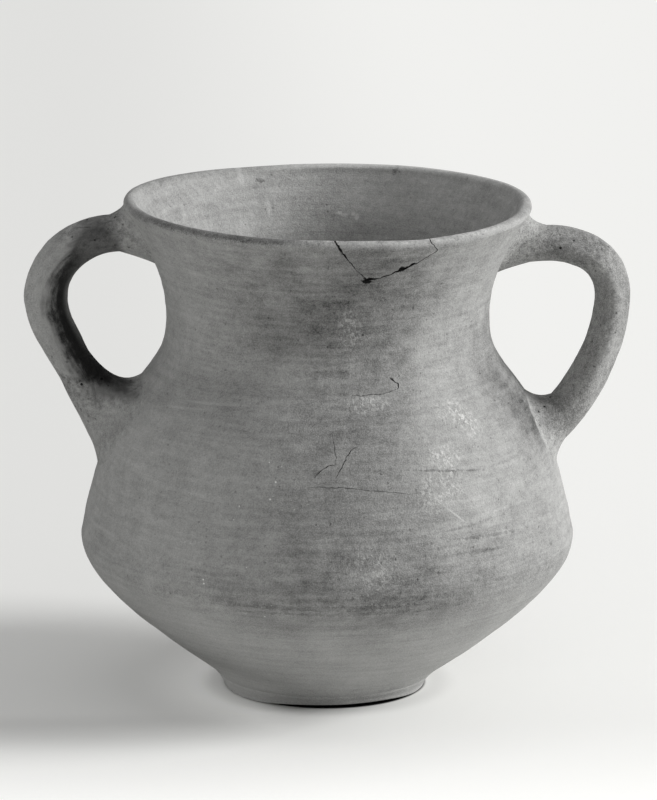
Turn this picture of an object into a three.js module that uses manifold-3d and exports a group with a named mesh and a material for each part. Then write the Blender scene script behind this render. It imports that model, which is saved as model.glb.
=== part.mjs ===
// Two-handled jar of grey fired clay, built up in sections, with one sherd of its rim set back in place.
// Millimetres, +Z up. The foot stands on z = 0, the jar's axis is Z and the handles reach along X.
import * as THREE from 'three';
import { mergeVertices } from 'three/addons/utils/BufferGeometryUtils.js';
import Module from 'manifold-3d';

const wasm = await Module();
wasm.setup();

// Height of the rim, and the places of the belly and the waist as shares of it
const RIM_HEIGHT = 168;
const BELLY_SHARE = 0.3215;
const WAIST_SHARE = 0.774;
const FOOT_HEIGHT = 5;
const LIP_ROUND = 2;

// Outer radii
const FOOT_RADIUS = 34.6;
const FOOT_EDGE = 2.2;
const HEEL_STEP = 1.4;
const BELLY_RADIUS = 84.3;
const WAIST_RADIUS = 54.4;
const RIM_RADIUS = 68.9;

// Clay thickness, square to the wall
const WALL_AT_FOOT = 6.5;
const WALL_AT_RIM = 3.8;

// How far below the waist the neck is joined to the shoulder
const NECK_SEAM_DROP = 13;

// Fullness of the outline: two pulls for each curve, as shares of the way out and of the way up
const BOWL_PULLS = [new THREE.Vector2(0.915, 0.63), new THREE.Vector2(1, 0.867)];
const SHOULDER_PULLS = [new THREE.Vector2(0.39, 0.797), new THREE.Vector2(1, 0.67)];
const NECK_PULLS = [new THREE.Vector2(0, 0.389), new THREE.Vector2(0.607, 0.772)];

// Handles: the upper root below the lip, the elbow out past the belly, the lower root above the belly
const LEFT_ROOT_DROP = 11;
const LEFT_ELBOW_OVERHANG = 11.2;
const LEFT_ELBOW_DROP = 29.6;
const LEFT_LOWER_RISE = 33.7;
const LEFT_ROOT_THICKNESS = 10.5;
const LEFT_ELBOW_THICKNESS = 14.8;
const LEFT_LOWER_THICKNESS = 12.5;
const LEFT_ARCH_PULLS = [new THREE.Vector2(0.44, -0.2), new THREE.Vector2(1, 0.21)];
const LEFT_ARM_PULLS = [new THREE.Vector2(0, 0.225), new THREE.Vector2(0.42, 0.39)];
const RIGHT_ROOT_DROP = 14.7;
const RIGHT_ELBOW_OVERHANG = 12.6;
const RIGHT_ELBOW_DROP = 31.1;
const RIGHT_LOWER_RISE = 35.7;
const RIGHT_ROOT_THICKNESS = 11.5;
const RIGHT_ELBOW_THICKNESS = 12.2;
const RIGHT_LOWER_THICKNESS = 14.6;
const RIGHT_ARCH_PULLS = [new THREE.Vector2(0.75, -0.36), new THREE.Vector2(1, 0.31)];
const RIGHT_ARM_PULLS = [new THREE.Vector2(0, 0.29), new THREE.Vector2(0.36, 0.71)];
const HANDLE_WIDTH = 17;

// Fillets of clay pressed round the roots: up the handle (climb) and out over the wall (spread), each outside
// the loop, beside it and inside it
const UPPER_CLIMB_OUTSIDE = 15;
const UPPER_CLIMB_BESIDE = 6;
const UPPER_CLIMB_INSIDE = 5;
const UPPER_SPREAD_OUTSIDE = 7;
const UPPER_SPREAD_BESIDE = 3;
const UPPER_SPREAD_INSIDE = 1.2;
const LOWER_CLIMB_OUTSIDE = 9;
const LOWER_SPREAD_OUTSIDE = 6;
const LEFT_CLIMB_BESIDE = 14;
const LEFT_CLIMB_INSIDE = 25;
const LEFT_SPREAD_BESIDE = 9;
const LEFT_SPREAD_INSIDE = 27;
const RIGHT_CLIMB_BESIDE = 10;
const RIGHT_CLIMB_INSIDE = 9;
const RIGHT_SPREAD_BESIDE = 9;
const RIGHT_SPREAD_INSIDE = 9;
const LUTE_EDGE = 0.35;
const LUTE_HOLLOW = 0.6;
const LUTE_GAP = 0.3;

// Sherd of the rim
const SHERD_BEARING = -75.5;
const SHERD_WIDTH = 35.2;
const SHERD_DEPTH = 13.4;
const SHERD_TIP_SHARE = 0.34;
const SHERD_LEFT_BOW = 0.62;
const SHERD_RIGHT_BOW = new THREE.Vector2(0.8, 0.72);
const MEND_GAP = 0.35;

// Tones of the fired clay
const FOOT_GREY = 0.33;
const BOWL_GREY = 0.37;
const SHOULDER_GREY = 0.39;
const NECK_GREY = 0.36;
const SHERD_GREY = 0.42;
const LEFT_HANDLE_GREY = 0.2;
const RIGHT_HANDLE_GREY = 0.34;
const WARMTH = 0.98;
const CLAY_ROUGHNESS = 0.9;

// What the hand left: the foot a little off centre, the rim drawn up over the left handle
const FOOT_OFFSET = 1.2;
const FOOT_OFFSET_ENDS = 14;
const RIM_LIFT = 2.3;
const RIM_LIFT_SHARPNESS = 6;

// Fineness of the facets
const ROUND_STEPS = 64;
const BOWL_STEPS = 9;
const SHOULDER_STEPS = 10;
const SEAM_STEPS = 2;
const NECK_STEPS = 8;
const LIP_STEPS = 6;
const FOOT_EDGE_STEPS = 4;
const HANDLE_SIDES = 20;
const HANDLE_RINGS = 30;
const LUTE_CURVE_STEPS = 3;
const LUTE_UNDER_STEPS = 4;
const LUTE_BACK_STEPS = 3;
const BREAK_STEPS = 4;
const HALVINGS = 40;

const bellyHeight = RIM_HEIGHT * BELLY_SHARE;
const waistHeight = RIM_HEIGHT * WAIST_SHARE;
const lipHeight = RIM_HEIGHT - LIP_ROUND;

// A smooth curve whose two pull points are placed as shares of the run from start to end
function pulledCurve(start, end, pulls) {
  const run = end.clone().sub(start);
  const [first, second] = pulls.map((pull) => run.clone().multiply(pull).add(start));
  return new THREE.CubicBezierCurve(start, first, second, end);
}

// The outer outline as radius and height, from the heel over the belly and the waist to the lip
const heel = new THREE.Vector2(FOOT_RADIUS + HEEL_STEP, FOOT_HEIGHT);
const belly = new THREE.Vector2(BELLY_RADIUS, bellyHeight);
const waist = new THREE.Vector2(WAIST_RADIUS, waistHeight);
const lip = new THREE.Vector2(RIM_RADIUS, lipHeight);
const bowlCurve = pulledCurve(heel, belly, BOWL_PULLS);
const shoulderCurve = pulledCurve(belly, waist, SHOULDER_PULLS);
const neckCurve = pulledCurve(waist, lip, NECK_PULLS);

// The place on a rising curve that has the given height
function shareAtHeight(curve, height) {
  let low = 0;
  let high = 1;
  for (let halving = 0; halving < HALVINGS; halving += 1) {
    const middle = (low + high) / 2;
    if (curve.getPoint(middle).y < height) {
      low = middle;
    } else {
      high = middle;
    }
  }
  return (low + high) / 2;
}

// Points along part of a curve, moved level towards the axis by a depth measured square to the wall
function wallPoints(curve, from, to, steps, depthAt) {
  const points = [];
  for (let step = 0; step <= steps; step += 1) {
    const share = from + ((to - from) * step) / steps;
    const point = curve.getPoint(share);
    const uprightness = curve.getTangent(share).y;
    point.x -= depthAt(point.y) / uprightness;
    points.push(point);
  }
  return points;
}

function wallThickness(height) {
  return THREE.MathUtils.lerp(WALL_AT_FOOT, WALL_AT_RIM, height / RIM_HEIGHT);
}

const onSurface = () => 0;
const beyondLute = () => -LUTE_GAP;

// Outer wall radius at a height, with the joint's clearance added square to the wall
function clearedWallRadius(height) {
  let curve = neckCurve;
  if (height < bellyHeight) {
    curve = bowlCurve;
  } else if (height < waistHeight) {
    curve = shoulderCurve;
  }
  const share = shareAtHeight(curve, height);
  return curve.getPoint(share).x + LUTE_GAP / curve.getTangent(share).y;
}

// A solid turned round the jar's axis from an outline that closes on itself or on the axis
function turned(outline) {
  const geometry = new THREE.LatheGeometry(outline, ROUND_STEPS);
  geometry.rotateX(Math.PI / 2);
  return bare(geometry);
}

// A wall section between two outlines that share their heights
function turnedWall(outer, inner, crown = []) {
  const outline = [...outer, ...crown, ...inner.slice().reverse(), outer[0].clone()];
  return turned(outline);
}

function bare(geometry) {
  geometry.deleteAttribute('normal');
  geometry.deleteAttribute('uv');
  return mergeVertices(geometry, 1e-4);
}

function toManifold(geometry) {
  const positions = new Float32Array(geometry.getAttribute('position').array);
  const triangles = new Uint32Array(geometry.getIndex().array);
  return new wasm.Manifold(new wasm.Mesh({ numProp: 3, vertProperties: positions, triVerts: triangles }));
}

function fromManifold(solid) {
  const mesh = solid.getMesh();
  const geometry = new THREE.BufferGeometry();
  geometry.setAttribute('position', new THREE.BufferAttribute(new Float32Array(mesh.vertProperties), 3));
  geometry.setIndex(new THREE.BufferAttribute(new Uint32Array(mesh.triVerts), 1));
  return geometry;
}

// A closed skin over rows of points; each row goes once round and the rows follow one another.
// Open rows end in flat caps; looped rows close on the first one.
function skinned(rows, looped) {
  const around = rows[0].length;
  const positions = rows.flat().flatMap((point) => point.toArray());
  const triangles = [];
  const corner = (row, column) => (row % rows.length) * around + (column % around);
  const strips = looped ? rows.length : rows.length - 1;
  for (let row = 0; row < strips; row += 1) {
    for (let column = 0; column < around; column += 1) {
      const near = corner(row, column);
      const nearNext = corner(row, column + 1);
      const far = corner(row + 1, column);
      const farNext = corner(row + 1, column + 1);
      triangles.push(near, nearNext, farNext, near, farNext, far);
    }
  }
  if (!looped) {
    for (let column = 1; column < around - 1; column += 1) {
      triangles.push(corner(0, 0), corner(0, column + 1), corner(0, column));
      const last = rows.length - 1;
      triangles.push(corner(last, 0), corner(last, column), corner(last, column + 1));
    }
  }
  const geometry = new THREE.BufferGeometry();
  geometry.setAttribute('position', new THREE.Float32BufferAttribute(positions, 3));
  geometry.setIndex(triangles);
  return geometry;
}

// The foot: a flat disc of clay with a rounded edge
function footDisc() {
  const outline = [new THREE.Vector2(0, 0)];
  const edgeTop = Math.min(FOOT_EDGE, FOOT_HEIGHT / 2);
  for (let step = 0; step <= FOOT_EDGE_STEPS; step += 1) {
    const angle = (step / FOOT_EDGE_STEPS) * (Math.PI / 2);
    const radius = FOOT_RADIUS - FOOT_EDGE * (1 - Math.sin(angle));
    outline.push(new THREE.Vector2(radius, edgeTop * (1 - Math.cos(angle))));
  }
  outline.push(heel.clone(), new THREE.Vector2(0, FOOT_HEIGHT));
  return turned(outline);
}

function bowlWall() {
  const outer = wallPoints(bowlCurve, 0, 1, BOWL_STEPS, onSurface);
  const inner = wallPoints(bowlCurve, 0, 1, BOWL_STEPS, wallThickness);
  return turnedWall(outer, inner);
}

const neckSeamShare = shareAtHeight(shoulderCurve, waistHeight - NECK_SEAM_DROP);

function shoulderWall() {
  const outer = wallPoints(shoulderCurve, 0, neckSeamShare, SHOULDER_STEPS, onSurface);
  const inner = wallPoints(shoulderCurve, 0, neckSeamShare, SHOULDER_STEPS, wallThickness);
  return turnedWall(outer, inner);
}

// The neck with its rim still whole
function wholeNeck() {
  const side = (depthAt) => [
    ...wallPoints(shoulderCurve, neckSeamShare, 1, SEAM_STEPS, depthAt).slice(0, -1),
    ...wallPoints(neckCurve, 0, 1, NECK_STEPS, depthAt),
  ];
  const outer = side(onSurface);
  const inner = side(wallThickness);
  const outerLip = outer.at(-1);
  const halfLip = (outerLip.x - inner.at(-1).x) / 2;
  const crown = [];
  for (let step = 1; step < LIP_STEPS; step += 1) {
    const angle = (step / LIP_STEPS) * Math.PI;
    const radius = outerLip.x - halfLip * (1 - Math.cos(angle));
    crown.push(new THREE.Vector2(radius, lipHeight + LIP_ROUND * Math.sin(angle)));
  }
  return toManifold(turnedWall(outer, inner, crown));
}

// The jar as if it were solid, grown by the joint's clearance; it trims the ends of the handles
function clearedJar() {
  const outline = [
    new THREE.Vector2(0, FOOT_HEIGHT),
    ...wallPoints(bowlCurve, 0, 1, BOWL_STEPS, beyondLute),
    ...wallPoints(shoulderCurve, 0, 1, SHOULDER_STEPS + SEAM_STEPS, beyondLute).slice(1),
    ...wallPoints(neckCurve, 0, 1, NECK_STEPS, beyondLute).slice(1),
    new THREE.Vector2(0, lipHeight),
  ];
  return toManifold(turned(outline));
}

// The break in the rim, seen square on: steep on the left, a long bow on the right, open at the top
function breakOutline() {
  const left = -SHERD_WIDTH / 2;
  const right = SHERD_WIDTH / 2;
  const tip = left + SHERD_WIDTH * SHERD_TIP_SHARE;
  const above = SHERD_DEPTH;
  const shape = new THREE.Shape();
  shape.moveTo(left, above);
  shape.lineTo(left, 0);
  shape.lineTo((left + tip) / 2, -SHERD_DEPTH * SHERD_LEFT_BOW);
  shape.lineTo(tip, -SHERD_DEPTH);
  shape.quadraticCurveTo(right * SHERD_RIGHT_BOW.x, -SHERD_DEPTH * SHERD_RIGHT_BOW.y, right, 0);
  shape.lineTo(right, above);
  return shape.getPoints(BREAK_STEPS);
}

// The same outline drawn in by a distance on every side; a sharp corner moves at most twice as far
function drawnIn(points, distance) {
  const sharpest = 0.5;
  return points.map((point, index) => {
    const before = points[(index + points.length - 1) % points.length];
    const after = points[(index + 1) % points.length];
    const into = point.clone().sub(before).normalize();
    const onward = after.clone().sub(point).normalize();
    const inward = new THREE.Vector2(-into.y - onward.y, into.x + onward.x).normalize();
    const corner = Math.max(inward.dot(new THREE.Vector2(-into.y, into.x)), sharpest);
    return point.clone().addScaledVector(inward, distance / corner);
  });
}

// A block through the wall at the sherd's bearing
function breakBlock(points) {
  const block = new THREE.ExtrudeGeometry(new THREE.Shape(points), {
    depth: RIM_RADIUS,
    bevelEnabled: false,
  });
  const bearing = THREE.MathUtils.degToRad(SHERD_BEARING);
  const outward = new THREE.Vector3(Math.cos(bearing), Math.sin(bearing), 0);
  const up = new THREE.Vector3(0, 0, 1);
  const across = new THREE.Vector3().crossVectors(up, outward);
  const placing = new THREE.Matrix4().makeBasis(across, up, outward);
  placing.setPosition(outward.multiplyScalar(RIM_RADIUS / 2).setZ(RIM_HEIGHT));
  return toManifold(bare(block.applyMatrix4(placing)));
}

// A handle's middle line as radius and height, run on at both ends into the wall
function handleLine(handle) {
  const rootHeight = lipHeight - handle.rootDrop;
  const lowerHeight = bellyHeight + handle.lowerRise;
  const root = new THREE.Vector2(clearedWallRadius(rootHeight), rootHeight);
  const elbow = new THREE.Vector2(BELLY_RADIUS + handle.elbowOverhang, lipHeight - handle.elbowDrop);
  const lower = new THREE.Vector2(clearedWallRadius(lowerHeight), lowerHeight);
  const arch = pulledCurve(root, elbow, handle.archPulls);
  const arm = pulledCurve(elbow, lower, handle.armPulls);
  const tang = HANDLE_WIDTH;
  const line = new THREE.CurvePath();
  line.add(new THREE.LineCurve(root.clone().addScaledVector(arch.getTangent(0), -tang), root));
  line.add(arch);
  line.add(arm);
  line.add(new THREE.LineCurve(lower, lower.clone().addScaledVector(arm.getTangent(1), tang)));
  return line;
}

// A handle's thickness in the plane of its loop, which changes evenly from the root to the elbow and on
function handleThickness(handle, distance) {
  const [tang, arch, arm] = handle.line.curves.map((curve) => curve.getLength());
  const [atRoot, atElbow, atLower] = handle.thicknesses;
  if (distance < tang + arch) {
    return THREE.MathUtils.lerp(atRoot, atElbow, Math.max(distance - tang, 0) / arch);
  }
  return THREE.MathUtils.lerp(atElbow, atLower, Math.min((distance - tang - arch) / arm, 1));
}

// A point on a handle's oval skin, at a distance along its middle line and an angle round it
function handlePoint(handle, distance, angle, growth) {
  const share = THREE.MathUtils.clamp(distance / handle.line.getLength(), 0, 1);
  const centre = handle.line.getPoint(share);
  const along = handle.line.getTangent(share);
  const out = (handleThickness(handle, distance) / 2 + growth) * Math.cos(angle);
  const sideways = -(HANDLE_WIDTH / 2 + growth) * Math.sin(angle);
  return new THREE.Vector3(centre.x - along.y * out, sideways, centre.y + along.x * out);
}

function handleAngles() {
  return Array.from({ length: HANDLE_SIDES }, (_, side) => (side / HANDLE_SIDES) * Math.PI * 2);
}

function handleBody(handle, trim) {
  const rows = [];
  for (let ring = 0; ring <= HANDLE_RINGS; ring += 1) {
    const distance = (ring / HANDLE_RINGS) * handle.line.getLength();
    rows.push(handleAngles().map((angle) => handlePoint(handle, distance, angle, 0)));
  }
  const rod = toManifold(skinned(rows, false));
  return fromManifold(rod.subtract(trim));
}

function clearance(point) {
  return Math.hypot(point.x, point.y) - clearedWallRadius(point.z);
}

// Where a line on the handle's skin comes down on the wall, as a distance along the middle line
function landing(handle, angle, inWall, inOpen) {
  let within = inWall;
  let outside = inOpen;
  for (let halving = 0; halving < HALVINGS; halving += 1) {
    const middle = (within + outside) / 2;
    if (clearance(handlePoint(handle, middle, angle, LUTE_GAP)) < 0) {
      within = middle;
    } else {
      outside = middle;
    }
  }
  return (within + outside) / 2;
}

// A point let down level onto the cleared wall
function onWall(point) {
  const radius = clearedWallRadius(Math.min(point.z, lipHeight));
  const scale = radius / Math.hypot(point.x, point.y);
  return new THREE.Vector3(point.x * scale, point.y * scale, point.z);
}

// A size that changes round a root: its own value outside the loop, beside it and inside it
function sizeRoundRoot(sizes, angle) {
  const facing = Math.cos(angle);
  return THREE.MathUtils.lerp(sizes.beside, facing > 0 ? sizes.outside : sizes.inside, facing * facing);
}

// The fillet round one root: at every angle a hollow-faced wedge between the handle and the wall
function luteRing(handle, lute) {
  const inWall = lute.atUpper ? 0 : handle.line.getLength();
  const away = lute.atUpper ? 1 : -1;
  const inOpen = inWall + away * HANDLE_WIDTH * 2;
  const rows = handleAngles().map((angle) => {
    const climb = sizeRoundRoot(lute.climb, angle);
    const spread = sizeRoundRoot(lute.spread, angle);
    const meets = landing(handle, angle, inWall, inOpen);
    const beside = (share) => {
      const point = handlePoint(handle, meets, angle, LUTE_GAP + spread * share);
      point.z = Math.min(point.z, lipHeight - LUTE_EDGE);
      return onWall(point);
    };
    const along = (share, growth) => handlePoint(handle, meets + away * climb * share, angle, growth);
    const under = [];
    for (let step = 0; step <= LUTE_UNDER_STEPS; step += 1) {
      under.push(beside(step / LUTE_UNDER_STEPS));
    }
    const back = [];
    for (let step = LUTE_BACK_STEPS; step > 0; step -= 1) {
      back.push(along(step / LUTE_BACK_STEPS, LUTE_GAP));
    }
    const corner = under[0];
    const outward = new THREE.Vector3(corner.x, corner.y, 0).normalize();
    const wideEdge = beside(1).addScaledVector(outward, LUTE_EDGE);
    const highEdge = along(1, LUTE_GAP + LUTE_EDGE);
    const middle = highEdge.clone().add(wideEdge).multiplyScalar(0.5);
    const hollow = new THREE.QuadraticBezierCurve3(wideEdge, middle.lerp(corner, LUTE_HOLLOW), highEdge);
    return [...under, ...hollow.getPoints(LUTE_CURVE_STEPS), ...back];
  });
  if (lute.atUpper) {
    rows.reverse();
  }
  return skinned(rows, true);
}

// What the hand left, the same for every piece, so that neighbours still meet
function asThrown(geometry) {
  const position = geometry.getAttribute('position');
  for (let index = 0; index < position.count; index += 1) {
    const x = position.getX(index);
    const y = position.getY(index);
    const z = position.getZ(index);
    const offCentre = 1 - THREE.MathUtils.smoothstep(z, 0, FOOT_OFFSET_ENDS);
    position.setX(index, x - FOOT_OFFSET * offCentre);
    const overLeftHandle = Math.max(-x, 0) / Math.max(Math.hypot(x, y), 1);
    const towardsRim = THREE.MathUtils.smoothstep(z, waistHeight, RIM_HEIGHT);
    position.setZ(index, z + RIM_LIFT * towardsRim * overLeftHandle ** RIM_LIFT_SHARPNESS);
  }
  return geometry;
}

const jar = new THREE.Group();
jar.name = 'two_handled_jar';

function addPiece(name, geometry, grey) {
  const color = new THREE.Color(grey, grey, grey * WARMTH);
  const material = new THREE.MeshStandardMaterial({ color, roughness: CLAY_ROUGHNESS, metalness: 0 });
  const mesh = new THREE.Mesh(asThrown(geometry), material);
  mesh.name = name;
  jar.add(mesh);
}

const trim = clearedJar();
const neck = wholeNeck();
const breakLine = breakOutline();

addPiece('foot_disc', footDisc(), FOOT_GREY);
addPiece('bowl_wall', bowlWall(), BOWL_GREY);
addPiece('shoulder_wall', shoulderWall(), SHOULDER_GREY);
addPiece('neck_wall', fromManifold(neck.subtract(breakBlock(breakLine))), NECK_GREY);
const sherd = neck.intersect(breakBlock(drawnIn(breakLine, MEND_GAP)));
addPiece('rim_sherd', fromManifold(sherd), SHERD_GREY);

const upperLute = {
  atUpper: true,
  climb: { outside: UPPER_CLIMB_OUTSIDE, beside: UPPER_CLIMB_BESIDE, inside: UPPER_CLIMB_INSIDE },
  spread: { outside: UPPER_SPREAD_OUTSIDE, beside: UPPER_SPREAD_BESIDE, inside: UPPER_SPREAD_INSIDE },
};
const leftHandle = {
  rootDrop: LEFT_ROOT_DROP,
  elbowOverhang: LEFT_ELBOW_OVERHANG,
  elbowDrop: LEFT_ELBOW_DROP,
  lowerRise: LEFT_LOWER_RISE,
  thicknesses: [LEFT_ROOT_THICKNESS, LEFT_ELBOW_THICKNESS, LEFT_LOWER_THICKNESS],
  archPulls: LEFT_ARCH_PULLS,
  armPulls: LEFT_ARM_PULLS,
  lowerLute: {
    atUpper: false,
    climb: { outside: LOWER_CLIMB_OUTSIDE, beside: LEFT_CLIMB_BESIDE, inside: LEFT_CLIMB_INSIDE },
    spread: { outside: LOWER_SPREAD_OUTSIDE, beside: LEFT_SPREAD_BESIDE, inside: LEFT_SPREAD_INSIDE },
  },
};
const rightHandle = {
  rootDrop: RIGHT_ROOT_DROP,
  elbowOverhang: RIGHT_ELBOW_OVERHANG,
  elbowDrop: RIGHT_ELBOW_DROP,
  lowerRise: RIGHT_LOWER_RISE,
  thicknesses: [RIGHT_ROOT_THICKNESS, RIGHT_ELBOW_THICKNESS, RIGHT_LOWER_THICKNESS],
  archPulls: RIGHT_ARCH_PULLS,
  armPulls: RIGHT_ARM_PULLS,
  lowerLute: {
    atUpper: false,
    climb: { outside: LOWER_CLIMB_OUTSIDE, beside: RIGHT_CLIMB_BESIDE, inside: RIGHT_CLIMB_INSIDE },
    spread: { outside: LOWER_SPREAD_OUTSIDE, beside: RIGHT_SPREAD_BESIDE, inside: RIGHT_SPREAD_INSIDE },
  },
};

// A handle and its two fillets, made on the +X side and turned to their own
function addHandle(side, handle, turn, grey) {
  handle.line = handleLine(handle);
  addPiece(`${side}_handle`, handleBody(handle, trim).rotateZ(turn), grey);
  addPiece(`${side}_upper_lute`, luteRing(handle, upperLute).rotateZ(turn), grey);
  addPiece(`${side}_lower_lute`, luteRing(handle, handle.lowerLute).rotateZ(turn), grey);
}

addHandle('left', leftHandle, Math.PI, LEFT_HANDLE_GREY);
addHandle('right', rightHandle, 0, RIGHT_HANDLE_GREY);

export default jar;
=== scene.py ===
import math

import bmesh
import bpy
import numpy as np
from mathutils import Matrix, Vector


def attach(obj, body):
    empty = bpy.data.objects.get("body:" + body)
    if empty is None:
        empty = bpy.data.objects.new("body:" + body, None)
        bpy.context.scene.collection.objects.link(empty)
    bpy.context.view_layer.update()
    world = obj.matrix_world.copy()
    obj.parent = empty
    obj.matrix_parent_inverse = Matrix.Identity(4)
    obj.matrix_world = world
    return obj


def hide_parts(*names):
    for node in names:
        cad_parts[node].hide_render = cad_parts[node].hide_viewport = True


# A two-handled jar of grey clay, thrown in sections, with one sherd of its rim set back in place.
# Blender works in metres, +Z up. Sizes below are millimetres. The foot stands on z = 0, the handles
# reach along X and the picture looks along +Y. A bearing is the angle round the jar from +X.
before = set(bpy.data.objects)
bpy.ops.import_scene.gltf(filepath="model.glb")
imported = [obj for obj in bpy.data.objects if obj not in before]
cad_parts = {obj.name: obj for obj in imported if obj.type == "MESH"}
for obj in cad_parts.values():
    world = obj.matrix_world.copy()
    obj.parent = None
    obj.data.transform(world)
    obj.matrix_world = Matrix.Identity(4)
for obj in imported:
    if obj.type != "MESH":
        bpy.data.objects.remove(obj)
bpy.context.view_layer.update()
MM = 0.001

# Heights and outer radii
RIM_HEIGHT = 168
BELLY_HEIGHT = 0.3215 * RIM_HEIGHT
WAIST_HEIGHT = 0.774 * RIM_HEIGHT
LIP_ROUND = 2
LIP_HEIGHT = RIM_HEIGHT - LIP_ROUND
FOOT_HEIGHT = 5
NECK_SEAM = WAIST_HEIGHT - 13
FOOT_RADIUS = 34.6
FOOT_EDGE = 0.9
HEEL_RADIUS = 36
BELLY_RADIUS = 84.3
WAIST_RADIUS = 54.9
RIM_RADIUS = 69.2
WALL_AT_FOOT = 6.5
WALL_AT_RIM = 3.8

# Fullness of the outline, as shares of the way out and of the way up
BOWL_PULLS = ((0.915, 0.63), (1, 0.867))
SHOULDER_PULLS = ((0.39, 0.797), (1, 0.67))
NECK_PULLS = ((0, 0.389), (0.607, 0.772))

# The skin starts this far inside the outline, so that its unevenness stays within it
SKIN = 0.25

# Fineness of the outline and the skin
OUTLINE_STEPS = 240
WHEEL_STEPS = 540
OUTER_STEP = 0.85
INNER_STEP = 1.6
FOOT_STEP = 1.5
LIP_STEPS = 14

# Handles: root below the lip, elbow past the belly and below the lip, lower root above the belly
HANDLE_WIDTH = 17
HANDLE_GAP = 0.3
HANDLE_SIDES = 64
HANDLE_RINGS = 120
HANDLE_LINE_STEPS = 200
LEFT_HANDLE = {
    "root_drop": 11,
    "elbow_overhang": 10.9,
    "elbow_drop": 29.6,
    "lower_rise": 34.7,
    "thickness": (10.5, 14.8, 12),
    "arch_pulls": ((0.44, -0.27), (1, 0.21)),
    "arm_pulls": ((0, 0.225), (0.42, 0.39)),
    "flattening": 0.35,
    "side": -1,
}
RIGHT_HANDLE = {
    "root_drop": 15.1,
    "elbow_overhang": 12.5,
    "elbow_drop": 31.1,
    "lower_rise": 34.9,
    "thickness": (11, 12.2, 13.7),
    "arch_pulls": ((0.75, -0.37), (1, 0.31)),
    "arm_pulls": ((0, 0.29), (0.36, 0.71)),
    "flattening": 0.95,
    "side": 1,
}

# Fillets at the roots: climb up the handle and spread over the wall, outside, beside and inside the loop
LEFT_UPPER_LUTE = {"climb": (18, 6, 14), "spread": (11.5, 3, 1), "hollow": (0.72, 0.8, 0.3)}
RIGHT_UPPER_LUTE = {"climb": (17, 4, 13), "spread": (9, 2, 1.2), "hollow": (0.85, 0.8, 0.35)}
LEFT_LOWER_LUTE = {"climb": (9, 13, 22), "spread": (8, 11, 30), "hollow": (0.75, 0.8, 0.54)}
RIGHT_LOWER_LUTE = {"climb": (9, 10, 8), "spread": (6, 11, 9.5), "hollow": (0.85, 0.8, 0.45)}
LUTE_SIDES = 72
LUTE_FACE = 12
LUTE_BACK = 4
LUTE_TUCK = 0.22
LUTE_DEPTH = 1.1

# What the hand left on the shape
FOOT_OFFSET = 1.2
FOOT_OFFSET_ENDS = 14
RIM_LIFTS = (
    (-180, 2.4), (-150, 2), (-120, 1.5), (-95, 1.1), (-80, 0.5), (-65, -0.4), (-45, -0.4), (-20, 0.1), (0, 1.3),
    (15, 1.1), (30, 0.85), (50, 0.65), (70, 0.35), (90, 0.1), (104, 0), (114, 0.2), (125, 0.6), (135, 1),
    (150, 1.6), (165, 2.3), (180, 2.4),
)
FOOT_ROCK = 1.3
FOOT_ROCK_BEARING = -82
FOOT_ROCK_STARTS = 19
HEEL_FILL = 1.1
HEEL_FILL_SPREAD = 2.2

# The tongue of clay where the neck was joined: bearing and height along its lower edge
LEDGE_EDGE = ((-102, 118.4), (-93.6, 115.9), (-82, 115.1), (-73, 115.3), (-68.5, 116.5))
LEDGE_DEPTH = 0.55

# The break in the rim, seen square on at its bearing: across, up from the rim, and the open gap there
SHERD_BEARING = -75.5
BREAK_LINE = (
    (-17.7, 9, 0.8), (-17.6, 0, 0.8), (-16.6, -1.5, 0.85), (-15.8, -2.7, 0.8), (-14.3, -4.0, 0.55),
    (-12.9, -5.9, 0.2), (-11.2, -7.4, 0.3), (-9.5, -9.6, 0.12), (-7.5, -11.3, 0.16), (-6.3, -13.2, 0.6),
    (-5.2, -13.9, 1.0), (-3.3, -13.5, 0.75), (-1.2, -13.2, 0.2), (0.9, -12.6, 0.4), (2.6, -12.2, 0.22),
    (4.0, -11.5, 0.6), (5.4, -11.2, 1.0), (6.8, -10.4, 1.15), (8.2, -9.9, 0.45), (9.6, -9.0, 0.85),
    (11.1, -8.6, 0.3), (12.5, -7.6, 0.16), (13.9, -6.7, 0.16), (15.2, -6.0, 0.3), (16.6, -5.1, 0.2),
    (18.2, -4.0, 0.3), (17.2, -3.3, 0.2), (16.5, -2.6, 0.25), (15.3, -1.0, 0.3), (15.2, 9, 0.3),
)
BREAK_STEP = 0.7
BREAK_ROUGHNESS = 0.1
BREAK_STARTS = 30

# Hairline cracks: bearing and height of each point, then the width and depth
CRACKS = (
    (((-91.2, 104.5), (-90.6, 100.4), (-90.1, 96.8), (-90.3, 94.4)), 0.2, 0.7),
    (((-90.2, 94.9), (-92.2, 94.4), (-93.7, 93.6), (-96.0, 90.8)), 0.28, 0.8),
    (((-83.8, 100.2), (-86.1, 99.2), (-87.5, 96.8), (-88.8, 93.8), (-90.2, 90.8)), 0.26, 0.8),
    (((-96.9, 87.9), (-94.2, 88.1), (-91.9, 87.8), (-88.6, 87.8), (-85.3, 87.3)), 0.28, 0.8),
    (((-85.6, 87.3), (-81.8, 86.7), (-78.2, 86.1), (-74.7, 85.5), (-71.3, 84.4)), 0.2, 0.7),
    (((-84, 114.9), (-81, 114.7), (-78.5, 114.9), (-75.6, 114.7), (-73.0, 115.1), (-68.9, 116.1)), 0.26, 0.8),
    (((-68.9, 115.9), (-68.2, 117.4), (-69.9, 118.6), (-71.1, 119.8)), 0.5, 1.0),
)
CRACK_STARTS = 0.9
CRACK_STEP = 0.6

# Handling of meshes: corners nearer than this are one, levels of pressing, and the sharpest angle shaded smooth
WELD = 0.004
LEVELS = 250
SMOOTH_ANGLE = 40


def smoothly(value, low, high):
    share = np.clip((value - low) / (high - low), 0, 1)
    return share * share * (3 - 2 * share)


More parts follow.
